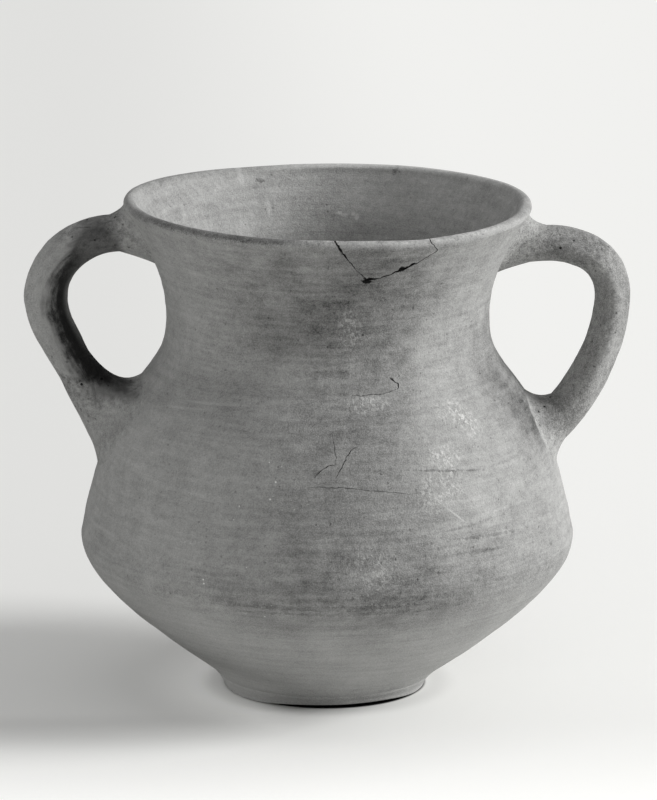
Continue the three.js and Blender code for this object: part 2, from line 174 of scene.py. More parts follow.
def bezier(points, steps):
    t = np.linspace(0, 1, steps + 1)[:, None]
    return (
        points[0] * (1 - t) ** 3 + 3 * points[1] * (1 - t) ** 2 * t
        + 3 * points[2] * (1 - t) * t**2 + points[3] * t**3
    )


def with_pulls(start, end, pulls):
    """The four points of a curve whose two pulls are shares of the way from start to end."""
    start, end = np.array(start, float), np.array(end, float)
    first, second = (start + (end - start) * np.array(pull) for pull in pulls)
    return np.array((start, first, second, end))


def run_length(points):
    return np.concatenate([[0], np.cumsum(np.linalg.norm(np.diff(points, axis=0), axis=1))])


def spaced(points, gap):
    """The same line with even steps of about gap."""
    run = run_length(points)
    marks = np.linspace(0, run[-1], max(2, round(run[-1] / gap) + 1))
    return np.column_stack([np.interp(marks, run, column) for column in points.T])


# Outline of the wall from the heel to the lip, as radius and height
HEEL = (HEEL_RADIUS, FOOT_HEIGHT)
BELLY = (BELLY_RADIUS, BELLY_HEIGHT)
WAIST = (WAIST_RADIUS, WAIST_HEIGHT)
LIP = (RIM_RADIUS, LIP_HEIGHT)
OUTLINE = np.vstack([
    bezier(with_pulls(HEEL, BELLY, BOWL_PULLS), OUTLINE_STEPS),
    bezier(with_pulls(BELLY, WAIST, SHOULDER_PULLS), OUTLINE_STEPS)[1:],
    bezier(with_pulls(WAIST, LIP, NECK_PULLS), OUTLINE_STEPS)[1:],
])
UPRIGHTNESS = np.gradient(OUTLINE[:, 1]) / np.linalg.norm(np.gradient(OUTLINE, axis=0), axis=1)


def wall_radius(height):
    return np.interp(height, OUTLINE[:, 1], OUTLINE[:, 0])


def wall_thickness(height):
    return WALL_AT_FOOT + (WALL_AT_RIM - WALL_AT_FOOT) * height / RIM_HEIGHT


def heel_fill(height):
    """Clay that softens the corner between the foot and the wall."""
    return HEEL_FILL * np.exp(-(((height - FOOT_HEIGHT) / HEEL_FILL_SPREAD) ** 2))


def around(bearing, radius, height):
    turn = np.radians(bearing)
    return np.array([radius * np.cos(turn), radius * np.sin(turn), height])


# Handling of objects
def take(piece):
    bpy.ops.object.select_all(action="DESELECT")
    piece.select_set(True)
    bpy.context.view_layer.objects.active = piece


def open_up(piece):
    take(piece)
    bpy.ops.object.mode_set(mode="EDIT")
    bpy.ops.mesh.select_all(action="SELECT")


def close_up():
    bpy.ops.object.mode_set(mode="OBJECT")


def corners(piece):
    """The corners of a piece in millimetres."""
    flat = np.empty(len(piece.data.vertices) * 3)
    piece.data.vertices.foreach_get("co", flat)
    return flat.reshape(-1, 3) / MM


def finish_with(piece, kind, **settings):
    """Adds a modifier to a piece and applies it."""
    take(piece)
    bpy.ops.object.modifier_add(type=kind)
    modifier = piece.modifiers[-1]
    for name, value in settings.items():
        setattr(modifier, name, value)
    bpy.ops.object.modifier_apply(modifier=modifier.name)


def discard(thing):
    take(thing)
    bpy.ops.object.delete()


def face_outwards(piece):
    open_up(piece)
    bpy.ops.mesh.remove_doubles(threshold=WELD * MM)
    bpy.ops.mesh.select_all(action="SELECT")
    bpy.ops.mesh.normals_make_consistent(inside=False)
    close_up()


def draw_line(name, points):
    """A chain of edges through points, drawn out from a plane closed up to one corner."""
    bpy.ops.object.select_all(action="DESELECT")
    points = np.asarray(points) * MM
    bpy.ops.mesh.primitive_plane_add(size=MM, location=(0, 0, 0))
    line = bpy.context.object
    line.name = line.data.name = name
    bpy.ops.object.mode_set(mode="EDIT")
    bpy.ops.mesh.select_all(action="SELECT")
    bpy.ops.mesh.merge(type="CENTER")
    bpy.ops.transform.translate(value=points[0])
    for step in np.diff(points, axis=0):
        bpy.ops.mesh.extrude_vertices_move(TRANSFORM_OT_translate={"value": step})
    close_up()
    return line


def turn_on_wheel(name, outline, steps=WHEEL_STEPS):
    """A body of clay turned round the jar's axis from an outline of radius and height."""
    body = draw_line(name, [(radius, 0, height) for radius, height in outline])
    finish_with(body, "SCREW", axis="Z", angle=2 * math.pi, steps=steps, render_steps=steps)
    face_outwards(body)
    return body


def displace(piece, share, depth, **settings):
    """Moves the skin by its share of depth, from 0 to 1, in even levels."""
    group = piece.vertex_groups.new(name="pressed")
    level = np.rint(np.clip(share, 0, 1) * LEVELS).astype(int)
    for step in np.unique(level[level > 0]):
        group.add(np.nonzero(level == step)[0].tolist(), step / LEVELS, "REPLACE")
    finish_with(piece, "DISPLACE", strength=depth * MM, vertex_group="pressed", **settings)
    piece.vertex_groups.remove(piece.vertex_groups["pressed"])


def press(piece, share, depth, direction="NORMAL"):
    """Moves the skin by depth where share is 1 and not at all where it is 0."""
    displace(piece, share, depth, mid_level=0, direction=direction)


def roughen(piece, share, patch, depth, shift):
    """Lifts and sinks the skin in cloudy patches of the given spread along x, y and z."""
    bpy.ops.object.empty_add(location=Vector(shift) * MM)
    spread = bpy.context.object
    spread.scale = Vector(patch) * MM
    bpy.context.view_layer.update()
    clouds = bpy.data.textures.new("clay_clouds", "CLOUDS")
    clouds.noise_scale = 1
    clouds.noise_depth = 2
    displace(
        piece, share, depth, mid_level=0.5, texture=clouds, texture_coords="OBJECT", texture_coords_object=spread
    )
    discard(spread)
    bpy.data.textures.remove(clouds)


def rim_lift(x, y):
    """How far the rim is drawn up there."""
    return np.interp(np.degrees(np.arctan2(y, x)), *np.array(RIM_LIFTS).T)


def settle(piece):
    """The lean of the whole jar: the foot a little off centre, the rim wavy and drawn up over the left handle."""
    x, y, z = corners(piece).T
    press(piece, 1 - smoothly(z, 0, FOOT_OFFSET_ENDS), -FOOT_OFFSET, "X")
    lift = rim_lift(x, y) * smoothly(z, WAIST_HEIGHT, RIM_HEIGHT)
    for most in (max(lift.max(), 0), min(lift.min(), 0)):
        if most:
            press(piece, lift / most, most, "Z")


def cut_away(piece, cutter, operation="DIFFERENCE"):
    """Cuts with the quick solver, or with the slow one where that leaves the piece as it was."""
    before = len(piece.data.polygons)
    for solver in ("MANIFOLD", "EXACT"):
        finish_with(piece, "BOOLEAN", object=cutter, operation=operation, solver=solver)
        if len(piece.data.polygons) != before:
            return
    raise RuntimeError(f"{cutter.name} leaves {piece.name} as it was")


def block(name, outline, through):
    """A closed block: an outline of points, filled and pushed through."""
    body = draw_line(name, [*outline, outline[0]])
    face_outwards(body)
    open_up(body)
    bpy.ops.mesh.edge_face_add()
    bpy.ops.mesh.select_all(action="SELECT")
    bpy.ops.mesh.extrude_region_move(TRANSFORM_OT_translate={"value": Vector(through) * MM})
    close_up()
    face_outwards(body)
    return body


# The foot: a disc with a rounded edge
def throw_foot():
    edge_turn = np.linspace(0, math.pi / 2, 9)
    edge = np.column_stack([
        FOOT_RADIUS - FOOT_EDGE * (1 - np.sin(edge_turn)), FOOT_EDGE * (1 - np.cos(edge_turn)),
    ])
    under = spaced(np.array([(0, 0), edge[0]]), FOOT_STEP)
    side = spaced(np.array([edge[-1], (HEEL_RADIUS - SKIN, FOOT_HEIGHT)]), FOOT_STEP / 2)
    side[:, 0] += heel_fill(side[:, 1]) - heel_fill(side[0, 1])
    top = spaced(np.array([side[-1], (0, FOOT_HEIGHT)]), FOOT_STEP * 2)
    foot = turn_on_wheel("foot_disc_clay", np.vstack([under, edge[1:], side[1:], top[1:]]))
    x, y, z = corners(foot).T
    low = 1 - smoothly(z, 0.2, FOOT_HEIGHT - 0.5)
    towards = around(FOOT_ROCK_BEARING, 1, 0)
    rocked = smoothly(x * towards[0] + y * towards[1], FOOT_ROCK_STARTS, FOOT_RADIUS)
    press(foot, low * rocked, FOOT_ROCK, "Z")
    settle(foot)
    return foot


# The wall in one piece, from the heel over the lip and down the inside
def throw_wall():
    outer = spaced(OUTLINE, OUTER_STEP)
    outer[:, 0] += heel_fill(outer[:, 1]) - heel_fill(FOOT_EDGE) - SKIN
    inner = OUTLINE.copy()
    inner[:, 0] -= wall_thickness(inner[:, 1]) / UPRIGHTNESS
    inner = spaced(inner, INNER_STEP)
    half_lip = (outer[-1, 0] - inner[-1, 0]) / 2
    turn = np.linspace(0, math.pi, LIP_STEPS + 1)[1:-1]
    crown = np.column_stack([
        outer[-1, 0] - half_lip * (1 - np.cos(turn)), LIP_HEIGHT + LIP_ROUND * np.sin(turn),
    ])
    bottom = spaced(np.array([inner[0], outer[0]]), INNER_STEP)
    wall = turn_on_wheel("thrown_wall", np.vstack([outer, crown, inner[::-1], bottom[1:]]))
    z = corners(wall)[:, 2]
    free = smoothly(z, FOOT_HEIGHT, FOOT_HEIGHT + 6)
    roughen(wall, free, (60, 60, 45), 0.8, (10, 20, 30))
    roughen(wall, free, (230, 230, 9), 0.5, (0, 90, 4))
    roughen(wall, free * smoothly(z, 40, 60), (120, 120, 2.6), 0.2, (30, 0, 1))
    press_ledge(wall)
    return wall


def press_ledge(wall):
    """A tongue of clay left standing where the neck was joined, with a sharp lower edge."""
    x, y, z = corners(wall).T
    bearing = np.degrees(np.arctan2(y, x))
    lower = np.interp(bearing, *np.array(LEDGE_EDGE).T)
    outside = np.hypot(x, y) > wall_radius(z) - wall_thickness(z) / 2
    sideways = smoothly(bearing, -103, -95) * (1 - smoothly(bearing, -70, -68))
    tongue = smoothly(z, lower - 0.4, lower + 0.4) * (1 - smoothly(z, lower + 1.5, lower + 6.5))
    press(wall, outside * sideways * tongue, LEDGE_DEPTH)


def score_cracks(wall):
    """Hairline cracks, wandering and uneven in width, that close towards their ends."""
    rng = np.random.default_rng(7)
    for points, width, depth in CRACKS:
        points = spaced(np.array(points), CRACK_STEP)
        points[1:-1] += rng.normal(0, 0.08, points[1:-1].shape)
        line = np.array([
            around(bearing, wall_radius(height) + CRACK_STARTS, height) for bearing, height in points
        ])
        outward = around(points[:, 0].mean(), 1, 0)
        across = np.cross(outward, np.gradient(line, axis=0))
        across /= np.linalg.norm(across, axis=1)[:, None]
        share = np.linspace(0, 1, len(line))
        taper = np.minimum(1, 4 * np.minimum(share, share[::-1]) + 0.25)
        half = width / 2 * taper * rng.uniform(0.5, 1.3, len(line))
        outline = np.vstack([line + across * half[:, None], (line - across * half[:, None])[::-1]])
        crack = block("crack", outline, -outward * (CRACK_STARTS + depth))
        cut_away(wall, crack)
        discard(crack)


def section(wall, name, bottom, top):
    """The wall between two levels, closed across its cut ends."""
    take(wall)
    bpy.ops.object.duplicate()
    part = bpy.context.object
    part.name = part.data.name = name
    for level, taken_off in ((bottom, "clear_inner"), (top, "clear_outer")):
        if level is not None:
            open_up(part)
            bpy.ops.mesh.bisect(
                plane_co=(0, 0, level * MM), plane_no=(0, 0, 1), use_fill=True, **{taken_off: True}
            )
            close_up()
    return part


def break_rim(neck):
    """Takes the sherd out of the rim and sets it back with an uneven gap round it."""
    rng = np.random.default_rng(3)
    outward = around(SHERD_BEARING, 1, 0)
    across = np.cross((0, 0, 1), outward)
    line = spaced(np.array(BREAK_LINE), BREAK_STEP)
    line[:, :2] += rng.normal(0, BREAK_ROUGHNESS, (len(line), 2))
    line[:, 2] *= rng.uniform(0.75, 1.3, len(line))
    flow = np.gradient(line[:, :2], axis=0)
    flow /= np.linalg.norm(flow, axis=1)[:, None]
    drawn_in = line[:, :2] + np.column_stack([-flow[:, 1], flow[:, 0]]) * line[:, 2:]

    def placed(outline):
        upright = np.outer(outline[:, 1] + RIM_HEIGHT, (0, 0, 1))
        return np.outer(outline[:, 0], across) + upright + outward * BREAK_STARTS

    take(neck)
    bpy.ops.object.duplicate()
    sherd = bpy.context.object
    sherd.name = sherd.data.name = "rim_sherd_clay"
    for piece, outline, operation in ((neck, line, "DIFFERENCE"), (sherd, drawn_in, "INTERSECT")):
        cutter = block("break", placed(outline), outward * RIM_RADIUS)
        cut_away(piece, cutter, operation)
        discard(cutter)
    return sherd


# Handles
def handle_line(handle):
    """The middle line's four curves as radius and height, run on at both ends into the wall."""
    root_height = LIP_HEIGHT - handle["root_drop"]
    lower_height = BELLY_HEIGHT + handle["lower_rise"]
    root = np.array((wall_radius(root_height) + HANDLE_GAP, root_height))
    elbow = np.array((BELLY_RADIUS + handle["elbow_overhang"], LIP_HEIGHT - handle["elbow_drop"]))
    lower = np.array((wall_radius(lower_height) + HANDLE_GAP, lower_height))
    arch = with_pulls(root, elbow, handle["arch_pulls"])
    arm = with_pulls(elbow, lower, handle["arm_pulls"])
    into_root = (arch[1] - root) / np.linalg.norm(arch[1] - root) * HANDLE_WIDTH
    into_lower = (lower - arm[2]) / np.linalg.norm(lower - arm[2]) * HANDLE_WIDTH
    straight = np.array((0, 1, 2, 3))[:, None] / 3
    return root + into_root * (straight - 1), arch, arm, lower + into_lower * straight


class HandleRun:
    """A handle's middle line, measured along its length."""

    def __init__(self, handle):
        curves = [bezier(points, HANDLE_LINE_STEPS) for points in handle_line(handle)]
        self.line = np.vstack([curves[0], *(curve[1:] for curve in curves[1:])])
        self.run = run_length(self.line)
        self.marks = np.cumsum([run_length(curve)[-1] for curve in curves])[:3]
        self.thickness = handle["thickness"]
        slope = np.gradient(self.line, axis=0)
        self.slope = slope / np.linalg.norm(slope, axis=1)[:, None]

    def thickness_at(self, distance):
        return np.interp(distance, self.marks, self.thickness)

    def skin(self, distance, angle, growth):
        """Points on the oval skin: angle 0 is the outside of the loop."""
        distance, angle, growth = np.broadcast_arrays(distance, angle, growth)
        centre = np.column_stack([np.interp(distance, self.run, column) for column in self.line.T])
        along = np.column_stack([np.interp(distance, self.run, column) for column in self.slope.T])
        out = (self.thickness_at(distance) / 2 + growth) * np.cos(angle)
        sideways = -(HANDLE_WIDTH / 2 + growth) * np.sin(angle)
        return np.column_stack([centre[:, 0] - along[:, 1] * out, sideways, centre[:, 1] + along[:, 0] * out])


def roll_handle(name, handle, core):
    run = HandleRun(handle)
    length = run.run[-1]
    bpy.ops.object.select_all(action="DESELECT")
    bpy.ops.mesh.primitive_cylinder_add(
        vertices=HANDLE_SIDES, radius=MM, depth=length * MM,
        location=(length / 2 * MM, 0, 0), rotation=(0, math.pi / 2, 0),
    )
    rod = bpy.context.object
    rod.name = rod.data.name = name
    bpy.ops.object.transform_apply(location=True, rotation=True, scale=True)
    open_up(rod)
    bpy.ops.mesh.select_all(action="DESELECT")
    mesh = bmesh.from_edit_mesh(rod.data)
    for edge in mesh.edges:
        edge.select = bool(abs(edge.verts[0].co.x - edge.verts[1].co.x) > length / 2 * MM)
    bmesh.update_edit_mesh(rod.data)
    bpy.ops.mesh.subdivide(number_cuts=HANDLE_RINGS)
    mesh = bmesh.from_edit_mesh(rod.data)
    rings = {}
    for corner in mesh.verts:
        rings.setdefault(round(corner.co.x / MM, 3), []).append(corner)
    for place, ring in rings.items():
        bpy.ops.mesh.select_all(action="DESELECT")
        for corner in ring:
            corner.select = True
        mesh.select_flush_mode()
        bpy.ops.transform.resize(
            value=(1, HANDLE_WIDTH / 2, run.thickness_at(place) / 2), center_override=(place * MM, 0, 0)
        )
    close_up()
    x, y, z = corners(rod).T
    root, _, lower_root = run.marks
    free = smoothly(x, root + 10, root + 24) * (1 - smoothly(x, lower_root - 30, lower_root - 12))
    turn = np.arctan2(y / HANDLE_WIDTH, z / run.thickness_at(x))
    press(rod, free * np.sin(2 * turn) ** 2, -handle["flattening"])
    bend(rod, handle)
    uneven = np.interp(corners(rod)[:, 0], (70, 84), (0.25, 1))
    roughen(rod, uneven, (16, 16, 16), 0.9, (5 * handle["side"], 3, 8))
    roughen(rod, uneven, (4.5, 4.5, 4.5), 0.3, (1, 3 * handle["side"], 2))
    cut_away(rod, core)
    face_outwards(rod)
    return rod


def bend(rod, handle):
    """Bends a straight rod along the handle's middle line."""
    bpy.ops.curve.primitive_bezier_curve_add()
    path = bpy.context.object
    path.data.twist_mode = "MINIMUM"
    path.data.resolution_u = 64
    path.data.use_stretch = True
    path.data.use_deform_bounds = True
    path.data.use_radius = False
    curves = handle_line(handle)
    spline = path.data.splines[0]
    spline.bezier_points.add(len(curves) + 1 - len(spline.bezier_points))
    for point in spline.bezier_points:
        point.handle_left_type = point.handle_right_type = "FREE"

    def placed(point):
        return Vector((point[0], 0, point[1])) * MM

    for before, after, curve in zip(spline.bezier_points, spline.bezier_points[1:], curves):
        before.co = placed(curve[0])
        before.handle_right = placed(curve[1])
        after.handle_left = placed(curve[2])
        after.co = placed(curve[3])
    spline.bezier_points[0].handle_left = spline.bezier_points[0].co
    spline.bezier_points[-1].handle_right = spline.bezier_points[-1].co
    finish_with(rod, "CURVE", object=path, deform_axis="POS_X")
    discard(path)


def press_lute(name, handle, lute, at_upper):
    """The fillet round one root: a ring whose face runs smoothly from the wall up the handle."""
    run = HandleRun(handle)
    angles = np.linspace(0, 2 * math.pi, LUTE_SIDES, endpoint=False)
    sides = np.stack([np.maximum(np.cos(angles), 0), np.sin(angles), np.minimum(np.cos(angles), 0)]) ** 2
    climb, spread, hollow = (np.array(lute[size]) @ sides for size in ("climb", "spread", "hollow"))
    in_wall, away = (0, 1) if at_upper else (run.run[-1], -1)
    steps = np.linspace(0, HANDLE_WIDTH * 2, 800)

    def clearance(point):
        return np.hypot(point[:, 0], point[:, 1]) - wall_radius(point[:, 2])

    meets = []
    for angle in angles:
        free = clearance(run.skin(in_wall + away * steps, angle, 0)) > 0
        meets.append(in_wall + away * steps[np.nonzero(~free)[0][-1] + 1])
    meets = np.array(meets)

    def on_wall(growth, depth):
        point = run.skin(meets, angles, growth)
        point[:, 2] = np.minimum(point[:, 2], LIP_HEIGHT - 0.3)
        scale = (wall_radius(point[:, 2]) - depth) / np.hypot(point[:, 0], point[:, 1])
        point[:, :2] *= scale[:, None]
        return point

    def on_handle(share, growth):
        return run.skin(meets + away * climb * share, angles, growth)

    low, high = on_wall(spread + LUTE_TUCK * 2, SKIN + LUTE_TUCK), on_handle(1.05, -LUTE_TUCK)
    pull = (low + high) / 2 * (1 - hollow[:, None]) + on_wall(0, SKIN) * hollow[:, None]
    face = [
        low * (1 - t) ** 2 + 2 * pull * (1 - t) * t + high * t**2 for t in np.linspace(0, 1, LUTE_FACE)
    ]
    back = [
        on_handle(0.8, -LUTE_DEPTH - LUTE_TUCK),
        on_handle(0.3, -LUTE_DEPTH - LUTE_TUCK),
        on_wall(-LUTE_DEPTH, SKIN + LUTE_DEPTH + LUTE_TUCK),
        on_wall(spread * 0.7, SKIN + LUTE_DEPTH + LUTE_TUCK),
    ]
    bpy.ops.object.select_all(action="DESELECT")
    bpy.ops.mesh.primitive_torus_add(
        major_segments=LUTE_SIDES, minor_segments=LUTE_FACE + LUTE_BACK,
        major_radius=HANDLE_WIDTH * MM, minor_radius=MM,
    )
    ring = bpy.context.object
    ring.name = ring.data.name = name
    places = np.stack([*face, *back], axis=1).reshape(-1, 3) * MM
    ring.data.vertices.foreach_set("co", places.ravel())
    ring.data.update()
    face_outwards(ring)
    return ring


def set_on_its_side(piece, handle):
    """Turns a piece made on the +X side to its own side of the jar."""
    if handle["side"] < 0:
        piece.rotation_euler.z = math.pi
        take(piece)
        bpy.ops.object.transform_apply(rotation=True)
    settle(piece)


def note(piece, name, values, domain="POINT"):
    """Keeps a value for each corner or face, for the clay's recipe."""
    mark = piece.data.attributes.new(name, "FLOAT", domain)
    mark.data.foreach_set("value", values.astype(np.float32))


def note_wall(piece):
    """Marks the inner wall, which was wiped upwards, the depth below the lip and the broken faces."""
    x, y, z = corners(piece).T
    inside = np.hypot(x, y) < wall_radius(z) - wall_thickness(z) * 0.6
    below_lip = RIM_HEIGHT + rim_lift(x, y) - z
    faces = piece.data.polygons
    middle, normal = np.zeros(len(faces) * 3), np.zeros(len(faces) * 3)
    faces.foreach_get("center", middle)
    faces.foreach_get("normal", normal)
    middle, normal = middle.reshape(-1, 3) / MM, normal.reshape(-1, 3)
    out = middle[:, :2] / np.maximum(np.hypot(*middle[:, :2].T), 0.01)[:, None]
    facing_out = np.abs((normal[:, :2] * out).sum(1))
    facing_along = np.abs(normal[:, 1] * out[:, 0] - normal[:, 0] * out[:, 1])
    within_neck = (middle[:, 2] > NECK_SEAM + 1) & (middle[:, 2] < LIP_HEIGHT - 2)
    broken = (facing_along > 0.5) | (within_neck & (facing_out < 0.4))
    note(piece, "inside_wall", inside)
    note(piece, "below_lip", below_lip)
    note(piece, "broken_face", broken, "FACE")


def note_loop(piece, handle):
    """Marks how far a point faces into the loop, its place along the handle and its distance to the wall."""
    run = HandleRun(handle)
    x, y, z = corners(piece).T
    flat = np.column_stack([x * handle["side"], z])
    nearest = np.array([np.argmin(np.hypot(*(run.line - point).T)) for point in flat])
    beyond = flat - run.line[nearest]
    slope = run.slope[nearest]
    out = (slope[:, 0] * beyond[:, 1] - slope[:, 1] * beyond[:, 0]) / run.thickness_at(run.run[nearest]) * 2
    note(piece, "faces_loop", -out)
    note(piece, "along_handle", run.run[nearest])
    note(piece, "off_wall", np.hypot(x, y) - wall_radius(z))


# Clay recipes
PATCH_DEPTH = 30


class Wire:
    """A socket of a recipe. Sums and products of wires add Math nodes."""

    def __init__(self, recipe, socket):
        self.recipe = recipe
        self.socket = socket

    def __add__(self, other):
        return self.recipe.math("ADD", self, other)

    def __radd__(self, other):
        return self.recipe.math("ADD", other, self)

    def __sub__(self, other):
        return self.recipe.math("SUBTRACT", self, other)

    def __rsub__(self, other):
        return self.recipe.math("SUBTRACT", other, self)

    def __mul__(self, other):
        return self.recipe.math("MULTIPLY", self, other)

    def __rmul__(self, other):
        return self.recipe.math("MULTIPLY", other, self)


class Recipe:
    """One clay finish: its nodes, and what is mixed from them."""

    def __init__(self, name):
        self.material = bpy.data.materials.new(name)
        self.material.use_nodes = True
        self.tree = self.material.node_tree
        self.tree.nodes.clear()
        metres = self.node("ShaderNodeTexCoord", output="Object")
        self.place = self.vector("SCALE", metres, scale=1 / MM)
        self.x, self.y, self.z = (self.node("ShaderNodeSeparateXYZ", {}, {0: self.place}, axis) for axis in "XYZ")

    def node(self, kind, settings=None, inputs=None, output=0):
        node = self.tree.nodes.new(kind)
        for name, value in (settings or {}).items():
            setattr(node, name, value)
        for name, value in (inputs or {}).items():
            if isinstance(value, Wire):
                self.tree.links.new(value.socket, node.inputs[name])
            else:
                node.inputs[name].default_value = value
        return Wire(self, node.outputs[output]) if node.outputs else None

    def math(self, operation, *terms):
        return self.node("ShaderNodeMath", {"operation": operation}, dict(enumerate(terms)))

    def vector(self, operation, first, second=(0, 0, 0), scale=1.0):
        inputs = {0: first, 1: second}
        if operation == "SCALE":
            inputs = {0: first, "Scale": scale}
        return self.node("ShaderNodeVectorMath", {"operation": operation}, inputs)

    def clouds(self, scale, detail=4.0, roughness=0.55, stretch=(1, 1, 1), place=None):
        """Cloudy variation about nought, with scale patches to the millimetre."""
        spread = self.vector("MULTIPLY", place or self.place, stretch)
        inputs = {"Vector": spread, "Scale": scale, "Detail": detail, "Roughness": roughness}
        return self.node("ShaderNodeTexNoise", {}, inputs) - 0.5

    def between(self, value, low, high):
        """0 below low, 1 above high and smooth between; the other way round if high is lower."""
        ends = {"From Min": low, "From Max": high} if low < high else {"From Min": high, "From Max": low}
        rise = self.node("ShaderNodeMapRange", {"interpolation_type": "SMOOTHSTEP"}, {"Value": value, **ends})
        return rise if low < high else 1 - rise

    def patch(
        self, bearing, height, across, up, tilt=0, ragged=None, softness=0.4, radius=None, depth=PATCH_DEPTH
    ):
        """A patch that fades out at its edge, by its middle and half sizes: on the wall if without a radius."""
        radius = float(wall_radius(height)) if radius is None else radius
        local = self.node("ShaderNodeMapping", {"vector_type": "TEXTURE"}, {
            "Vector": self.place, "Location": around(bearing, radius, height),
            "Rotation": (math.radians(tilt), 0, math.radians(bearing)), "Scale": (depth, across, up),
        })
        distance = self.node("ShaderNodeVectorMath", {"operation": "LENGTH"}, {0: local}, "Value")
        if ragged is not None:
            distance = distance + ragged
        return self.between(distance, 1 + softness, 1 - softness)

    def dots(self, scale, size, share):
        """Scattered dots: scale to the millimetre, size as a share of their spacing, in a share of places."""
        settings, inputs = {"feature": "F1"}, {"Vector": self.place, "Scale": scale}
        distance = self.node("ShaderNodeTexVoronoi", settings, inputs, "Distance")
        chance = self.node("ShaderNodeTexVoronoi", settings, inputs, "Color")
        pick = self.node("ShaderNodeSeparateXYZ", {}, {0: chance}, "X")
        return self.between(distance, size, size * 0.5) * self.between(pick, 1 - share, 1 - share * 0.8)

    def attribute(self, name):
        return self.node("ShaderNodeAttribute", {"attribute_name": name}, {}, "Fac")

    def grey(self, tone):
        """A tone from 0 to 1 as a grey with a trace of warmth."""
        ends = {0: tone, 6: (0, 0, 0, 1), 7: (1, 1, 0.98, 1)}
        return self.node("ShaderNodeMix", {"data_type": "RGBA", "clamp_factor": True}, ends, 2)

    def fire(self, tone, relief, depth, roughness):
        """Joins the tone and the fine relief to the surface."""
        bump = self.node("ShaderNodeBump", {}, {"Strength": 1.0, "Distance": depth * MM, "Height": relief})
        clay = self.node("ShaderNodeBsdfPrincipled", {}, {
            "Base Color": self.grey(tone), "Roughness": roughness, "Specular IOR Level": 0.25, "Normal": bump,
        })
        self.node("ShaderNodeOutputMaterial", {}, {"Surface": clay})
        return self.material


# Stains on the wall, some of them painted light and painted shade: bearing, height, half width, half height and
# change of tone
STAINS_AND_PAINTED_LIGHT_AND_SHADE = (
    (-80, 138, 44, 30, -0.12),
    (-92, 140, 9, 8, -0.08),
    (-83, 154, 24, 10, -0.24),
    (-80, 161, 20, 6, -0.22),
    (-72, 140, 16, 12, -0.18),
    (-104, 139, 16, 10, -0.15),
    (-86, 140, 30, 18, -0.08),
    (-96, 124, 18, 12, -0.08),
    (-86, 125, 6, 5, 0.1),
    (-97, 108, 12, 8, -0.06),
    (-73, 120, 10, 11, -0.2),
    (-87, 149, 5, 4, -0.14),
    (-90.5, 96, 8, 7, -0.1),
    (-112, 121, 12, 4, 0.14),
    # Painted light on the left flank, which the key leaves in shade
    (-160, 64, 30, 26, 0.12),
    (-84, 84, 24, 28, -0.2),
    (-72, 56, 50, 12, -0.2),
    (-70, 50, 22, 12, -0.12),
    (-95, 66, 10, 13, -0.12),
    (-80, 50, 9, 6, -0.12),
    (-98, 40, 26, 3, -0.1),
    (-112, 43, 34, 4, -0.1),
    (-93, 51, 10, 5, 0.1),
    (-78, 74, 14, 26, -0.1),
    (-35, 57, 20, 20, -0.1),
    # Painted shadow along the lower edge of the foot at the front, where it stands off the floor
    (-78, 2, 32, 5, -0.28),
    (-112, 52, 40, 6, -0.16),
    (-84, 40, 40, 8, -0.08),
    (-40, 50, 26, 20, -0.08),
    # Painted light on the left side of the foot, which lies in the jar's own shade
    (-150, 5, 18, 12, 0.4),
    (-156, 4, 20, 8, 0.5),
    # Painted shade of the right handle on the neck's right side and on the wall round its lower root
    (-14, 116, 14, 18, -0.28),
    (-30, 116, 10, 12, -0.12),
    (-12, 94, 8, 9, -0.26),
    (-17, 101, 8, 7, -0.1),
    (-20, 97, 15, 10, -0.24),
)

# Pale scuffed places where the skin is worn off, in the same order
SCUFFS = (
    (-85.5, 138, 3, 5.6, 0.5),
    (-78.7, 113, 6.5, 2.8, 0.6),
    (-52.5, 107.7, 6, 4, 0.5),
    (-47.6, 102.4, 5, 4.5, 0.5),
    (-59.5, 95.2, 6, 3.4, 0.65),
    (-63.2, 84.9, 8, 5.5, 0.45),
    (-81.7, 61.6, 8, 7, 0.4),
)

# Thin strokes: bearing, height, half length, half thickness, tilt and change of tone
STROKES = (
    (-60, 90.4, 13, 0.35, -7, -0.35),
    (-51, 68, 15, 0.5, -3, -0.25),
    (-55, 72.5, 12, 0.45, 4, -0.2),
    (-56, 63.8, 14, 0.5, -2, -0.2),
    (-60.2, 76.8, 3.4, 0.3, -40, 0.4),
    (-130, 110, 12, 0.4, 4, 0.22),
    (-141, 107, 9, 0.35, 6, 0.16),
    (-95, 49, 30, 0.9, 0, -0.14),
    (-88, 46.6, 26, 0.6, 0, -0.14),
    (-93, 121.3, 9, 1.2, 0, -0.18),
    (-80.5, 154, 1.6, 0.5, -10, -0.7),
    (-68.8, 158, 2.4, 0.5, 28, -0.7),
)

# Smears and a pit on the inner wall, in the order of the stains
INNER_MARKS = (
    (83.4, 152.7, 1.1, 0.5, 0.5),
    (81.2, 152.1, 1.2, 0.6, 0.45),
    (78.4, 152.3, 0.8, 0.7, 0.5),
    (77, 151.4, 0.7, 0.9, 0.5),
    (109.3, 163.8, 1.4, 0.9, -0.45),
    (115.5, 165.5, 1.1, 3, 0.3),
    (108.2, 155, 0.7, 4, 0.25),
    (65.9, 167, 1.1, 1.2, -0.6),
)

# Where white grit shows: bearing, height, half width and half height
GRIT = ((-123, 75, 11, 6), (-110, 88, 16, 12), (-116, 58, 26, 12))
